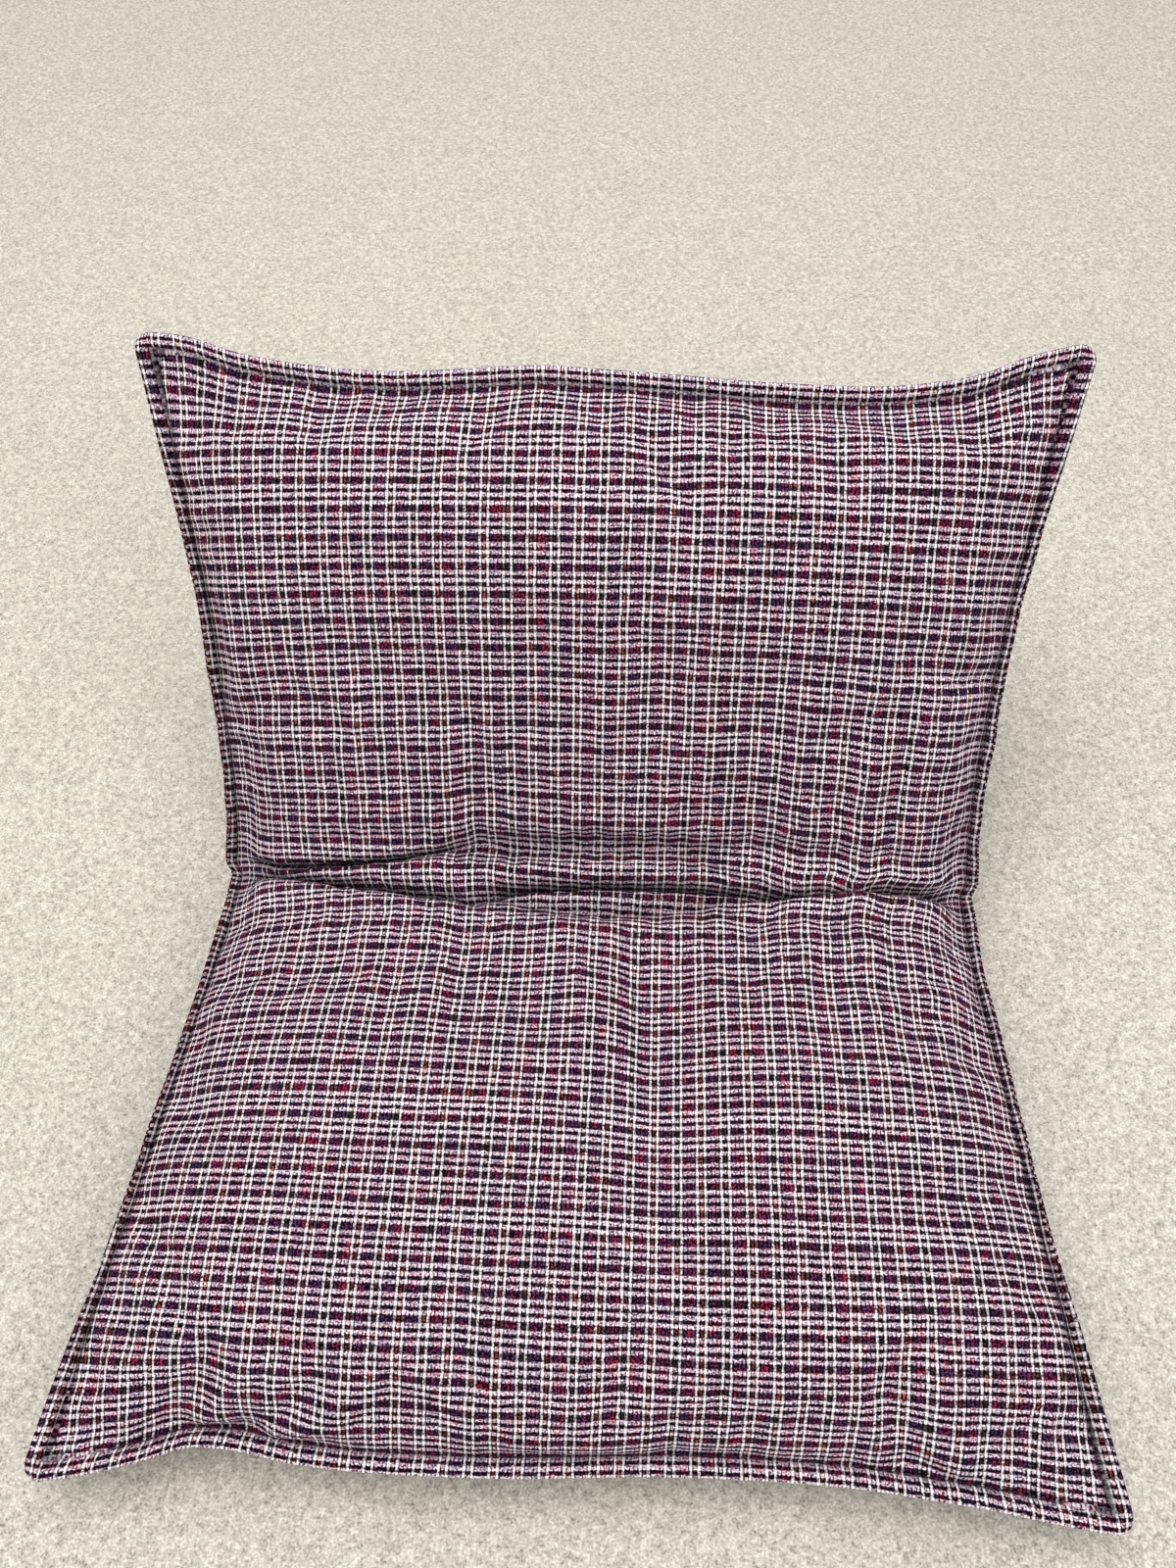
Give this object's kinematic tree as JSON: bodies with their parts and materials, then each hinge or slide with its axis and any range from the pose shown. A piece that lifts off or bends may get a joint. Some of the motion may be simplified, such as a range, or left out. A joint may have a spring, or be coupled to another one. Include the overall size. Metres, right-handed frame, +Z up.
{
  "type": "floor cushion",
  "caption": "Long floor cushion in tweed with a flat stitched flange, folded at its middle into a low seat and a leaning back, with a zip across the rear",
  "frame": {"origin": "bottom centre of the cushion's box, on the floor under the seat's rear", "axes": "+Z up, +X along the fold, the seat's front edge towards -Y and the leaning back towards +Y"},
  "size_m": [0.65, 0.6612, 0.3324],
  "materials": {
    "tweed_cover": "matte",
    "topstitch_thread": "matte",
    "ticking": "matte",
    "filling": "matte",
    "zip_tape": "matte",
    "zip_teeth": "satin",
    "zip_metal": "satin"
  },
  "bodies": {
    "seat": {"seat_top_panel": "tweed_cover", "seat_bottom_panel": "tweed_cover", "seat_topstitch": "topstitch_thread", "seat_insert_upper": "ticking", "seat_insert_lower": "ticking", "seat_filling": "filling", "fold_floor_panel": "tweed_cover"},
    "fold": {"fold_front_panel": "tweed_cover", "fold_rear_panel": "tweed_cover", "fold_filling": "filling"},
    "back": {"back_front_panel": "tweed_cover", "back_rear_panel_lower": "tweed_cover", "back_rear_panel_upper": "tweed_cover", "back_topstitch": "topstitch_thread", "back_insert_front": "ticking", "back_insert_rear": "ticking", "back_filling": "filling", "zip_tape_lower": "zip_tape", "zip_tape_upper": "zip_tape", "zip_teeth_lower": "zip_teeth", "zip_teeth_upper": "zip_teeth", "zip_bottom_stop": "zip_metal", "zip_top_stops": "zip_metal"},
    "zip_slider": {"zip_slider": "zip_metal"},
    "zip_pull": {"zip_pull": "zip_metal"}
  },
  "joints": [
    {"name": "fold_hinge", "type": "hinge", "parent": "seat", "child": "back", "pos_m": [0, 0.05575, 0.09], "axis": [1, 0, 0], "range_deg": [-48, 116]},
    {"name": "fold_core_turn", "type": "hinge", "parent": "seat", "child": "fold", "pos_m": [0, 0.05575, 0.09], "axis": [1, 0, 0], "range_deg": [-24, 58]},
    {"name": "zip_slide", "type": "slide", "parent": "back", "child": "zip_slider", "axis": [1, 0, 0], "range_m": [-0.376, 0]},
    {"name": "pull_swing", "type": "hinge", "parent": "zip_slider", "child": "zip_pull", "pos_m": [0.188, 0.19421, 0.11241], "axis": [0, 0.6691, 0.7431], "range_deg": [-85, 85]}
  ],
  "couplings": [
    {"joint": "fold_core_turn", "follows": "fold_hinge", "ratio": 0.5}
  ]
}
